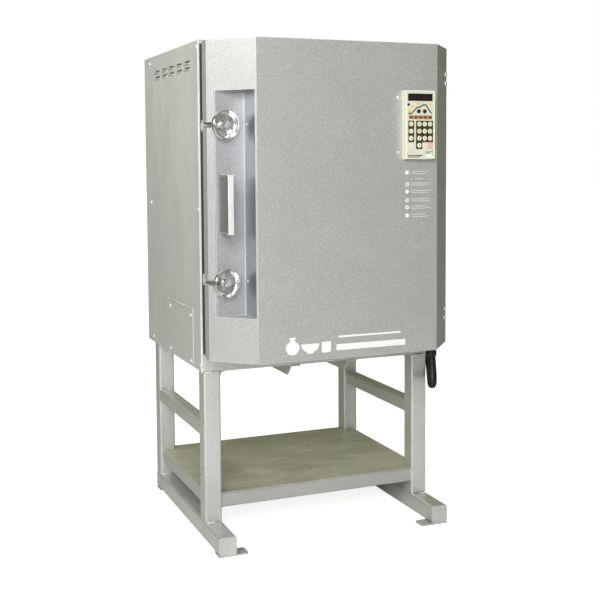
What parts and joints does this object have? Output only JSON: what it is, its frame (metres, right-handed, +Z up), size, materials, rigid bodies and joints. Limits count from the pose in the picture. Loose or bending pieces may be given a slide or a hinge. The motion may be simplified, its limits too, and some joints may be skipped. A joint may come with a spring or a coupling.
{
  "type": "pottery kiln",
  "caption": "Front-loading electric pottery kiln: brick-lined cabinet on a welded tube stand, with a chamfered swing door, handwheel clamps and a door-mounted controller.",
  "frame": {"origin": "floor level, at the centre of the four anchor holes in the foot plates", "axes": "+Z up, -Y towards the person at the door, +X to that person's right (hinge side)"},
  "size_m": [0.74, 0.8576, 1.422],
  "materials": {
    "silver_paint": "smooth silver paint on welded tube",
    "casing_paint": "satin beige-grey paint",
    "hammertone": "silver hammertone paint",
    "pocket_paint": "silver hammertone paint",
    "shelf_steel": "dull grey-olive paint",
    "firebrick": "rough insulating firebrick",
    "fibre": "soft ceramic fibre",
    "element_alloy": "oxidised resistance wire",
    "probe_ceramic": "smooth alumina",
    "gear_plastic": "moulded black and grey electrical parts on a plate",
    "plug_ceramic": "unglazed fired clay",
    "hinge_steel": "zinc-plated steel",
    "screw_steel": "bright screws",
    "chrome": "polished chrome",
    "clamp_steel": "zinc-plated steel",
    "conduit_black": "black flexible conduit",
    "grip_paint": "silver paint",
    "controller_cream": "light cream plastic",
    "display_glass": "dark display window",
    "key_cream": "cream keys",
    "key_amber": "amber-brown keys",
    "key_green": "dark green keys",
    "key_pink": "pink key"
  },
  "bodies": {
    "cabinet": {"left_side_frame": "silver_paint", "right_side_frame": "silver_paint", "top_frame": "silver_paint", "shelf": "shelf_steel", "casing_left": "casing_paint", "casing_right": "casing_paint", "casing_rear": "casing_paint", "casing_top": "casing_paint", "casing_front": "casing_paint", "access_cover": "casing_paint", "casing_screws": "screw_steel", "brick_floor": "firebrick", "brick_left": "firebrick", "brick_right": "firebrick", "brick_rear": "firebrick", "brick_roof": "firebrick", "fibre_backing": "fibre", "heating_elements": "element_alloy", "thermocouple": "probe_ceramic", "control_gear": "gear_plastic", "hinge_brackets": "hinge_steel"},
    "door": {"hinge_leaves": "hinge_steel", "door_shell": "hammertone", "door_pocket": "pocket_paint", "door_lining": "firebrick", "door_seal": "fibre", "door_screws": "screw_steel", "door_cable": "conduit_black", "pull_handle": "grip_paint", "controller_housing": "controller_cream", "controller_display": "display_glass", "clamp_lugs": "clamp_steel"},
    "vent_plug": {"vent_plug": "plug_ceramic"},
    "upper_swing_bolt": {"upper_swing_bolt": "clamp_steel"},
    "upper_thrust_washer": {"upper_thrust_washer": "clamp_steel"},
    "upper_handwheel": {"upper_handwheel": "chrome"},
    "lower_swing_bolt": {"lower_swing_bolt": "clamp_steel"},
    "lower_thrust_washer": {"lower_thrust_washer": "clamp_steel"},
    "lower_handwheel": {"lower_handwheel": "chrome"},
    "key_01": {"key_01": "key_cream"},
    "key_02": {"key_02": "key_cream"},
    "key_03": {"key_03": "key_cream"},
    "key_04": {"key_04": "key_cream"},
    "key_05": {"key_05": "key_cream"},
    "key_06": {"key_06": "key_cream"},
    "key_07": {"key_07": "key_cream"},
    "key_08": {"key_08": "key_cream"},
    "key_09": {"key_09": "key_cream"},
    "key_10": {"key_10": "key_cream"},
    "key_11": {"key_11": "key_cream"},
    "key_12": {"key_12": "key_cream"},
    "key_13": {"key_13": "key_cream"},
    "key_14": {"key_14": "key_amber"},
    "key_15": {"key_15": "key_amber"},
    "key_16": {"key_16": "key_amber"},
    "key_17": {"key_17": "key_amber"},
    "key_18": {"key_18": "key_amber"},
    "key_19": {"key_19": "key_green"},
    "key_20": {"key_20": "key_green"},
    "key_21": {"key_21": "key_pink"}
  },
  "joints": [
    {"name": "door_hinge", "type": "hinge", "parent": "cabinet", "child": "door", "pos_m": [0.366, -0.2295, 0.961], "axis": [0, 0, 1], "range_deg": [0, 120]},
    {"name": "vent_plug_lift", "type": "slide", "parent": "cabinet", "child": "vent_plug", "axis": [0, 0, 1], "range_m": [0, 0.065]},
    {"name": "lower_bolt_swing", "type": "hinge", "parent": "door", "child": "lower_swing_bolt", "pos_m": [-0.346, -0.2195, 0.745], "axis": [0, 0, 1], "range_deg": [-100, 0]},
    {"name": "lower_washer_travel", "type": "slide", "parent": "lower_swing_bolt", "child": "lower_thrust_washer", "axis": [0.1908, -0.9816, 0], "range_m": [0, 0.007]},
    {"name": "lower_wheel_spin", "type": "hinge", "parent": "lower_thrust_washer", "child": "lower_handwheel", "pos_m": [-0.32616, -0.32159, 0.745], "axis": [0.1908, -0.9816, 0], "range_deg": [0, 1440]},
    {"name": "upper_bolt_swing", "type": "hinge", "parent": "door", "child": "upper_swing_bolt", "pos_m": [-0.346, -0.2195, 1.165], "axis": [0, 0, 1], "range_deg": [-100, 0]},
    {"name": "upper_washer_travel", "type": "slide", "parent": "upper_swing_bolt", "child": "upper_thrust_washer", "axis": [0.1908, -0.9816, 0], "range_m": [0, 0.007]},
    {"name": "upper_wheel_spin", "type": "hinge", "parent": "upper_thrust_washer", "child": "upper_handwheel", "pos_m": [-0.32616, -0.32159, 1.165], "axis": [0.1908, -0.9816, 0], "range_deg": [0, 1440]},
    {"name": "key_01_press", "type": "slide", "parent": "door", "child": "key_01", "axis": [0, 1, 0], "range_m": [0, 0.001], "stiffness_N_per_m": 200},
    {"name": "key_02_press", "type": "slide", "parent": "door", "child": "key_02", "axis": [0, 1, 0], "range_m": [0, 0.001], "stiffness_N_per_m": 200},
    {"name": "key_03_press", "type": "slide", "parent": "door", "child": "key_03", "axis": [0, 1, 0], "range_m": [0, 0.001], "stiffness_N_per_m": 200},
    {"name": "key_04_press", "type": "slide", "parent": "door", "child": "key_04", "axis": [0, 1, 0], "range_m": [0, 0.001], "stiffness_N_per_m": 200},
    {"name": "key_05_press", "type": "slide", "parent": "door", "child": "key_05", "axis": [0, 1, 0], "range_m": [0, 0.001], "stiffness_N_per_m": 200},
    {"name": "key_06_press", "type": "slide", "parent": "door", "child": "key_06", "axis": [0, 1, 0], "range_m": [0, 0.001], "stiffness_N_per_m": 200},
    {"name": "key_07_press", "type": "slide", "parent": "door", "child": "key_07", "axis": [0, 1, 0], "range_m": [0, 0.001], "stiffness_N_per_m": 200},
    {"name": "key_08_press", "type": "slide", "parent": "door", "child": "key_08", "axis": [0, 1, 0], "range_m": [0, 0.001], "stiffness_N_per_m": 200},
    {"name": "key_09_press", "type": "slide", "parent": "door", "child": "key_09", "axis": [0, 1, 0], "range_m": [0, 0.001], "stiffness_N_per_m": 200},
    {"name": "key_10_press", "type": "slide", "parent": "door", "child": "key_10", "axis": [0, 1, 0], "range_m": [0, 0.001], "stiffness_N_per_m": 200},
    {"name": "key_11_press", "type": "slide", "parent": "door", "child": "key_11", "axis": [0, 1, 0], "range_m": [0, 0.001], "stiffness_N_per_m": 200},
    {"name": "key_12_press", "type": "slide", "parent": "door", "child": "key_12", "axis": [0, 1, 0], "range_m": [0, 0.001], "stiffness_N_per_m": 200},
    {"name": "key_13_press", "type": "slide", "parent": "door", "child": "key_13", "axis": [0, 1, 0], "range_m": [0, 0.001], "stiffness_N_per_m": 200},
    {"name": "key_14_press", "type": "slide", "parent": "door", "child": "key_14", "axis": [0, 1, 0], "range_m": [0, 0.001], "stiffness_N_per_m": 200},
    {"name": "key_15_press", "type": "slide", "parent": "door", "child": "key_15", "axis": [0, 1, 0], "range_m": [0, 0.001], "stiffness_N_per_m": 200},
    {"name": "key_16_press", "type": "slide", "parent": "door", "child": "key_16", "axis": [0, 1, 0], "range_m": [0, 0.001], "stiffness_N_per_m": 200},
    {"name": "key_17_press", "type": "slide", "parent": "door", "child": "key_17", "axis": [0, 1, 0], "range_m": [0, 0.001], "stiffness_N_per_m": 200},
    {"name": "key_18_press", "type": "slide", "parent": "door", "child": "key_18", "axis": [0, 1, 0], "range_m": [0, 0.001], "stiffness_N_per_m": 200},
    {"name": "key_19_press", "type": "slide", "parent": "door", "child": "key_19", "axis": [0, 1, 0], "range_m": [0, 0.001], "stiffness_N_per_m": 200},
    {"name": "key_20_press", "type": "slide", "parent": "door", "child": "key_20", "axis": [0, 1, 0], "range_m": [0, 0.001], "stiffness_N_per_m": 200},
    {"name": "key_21_press", "type": "slide", "parent": "door", "child": "key_21", "axis": [0, 1, 0], "range_m": [0, 0.001], "stiffness_N_per_m": 200}
  ],
  "couplings": [
    {"joint": "lower_washer_travel", "follows": "lower_wheel_spin", "m_per_rad": 0.00027852},
    {"joint": "upper_washer_travel", "follows": "upper_wheel_spin", "m_per_rad": 0.00027852}
  ]
}
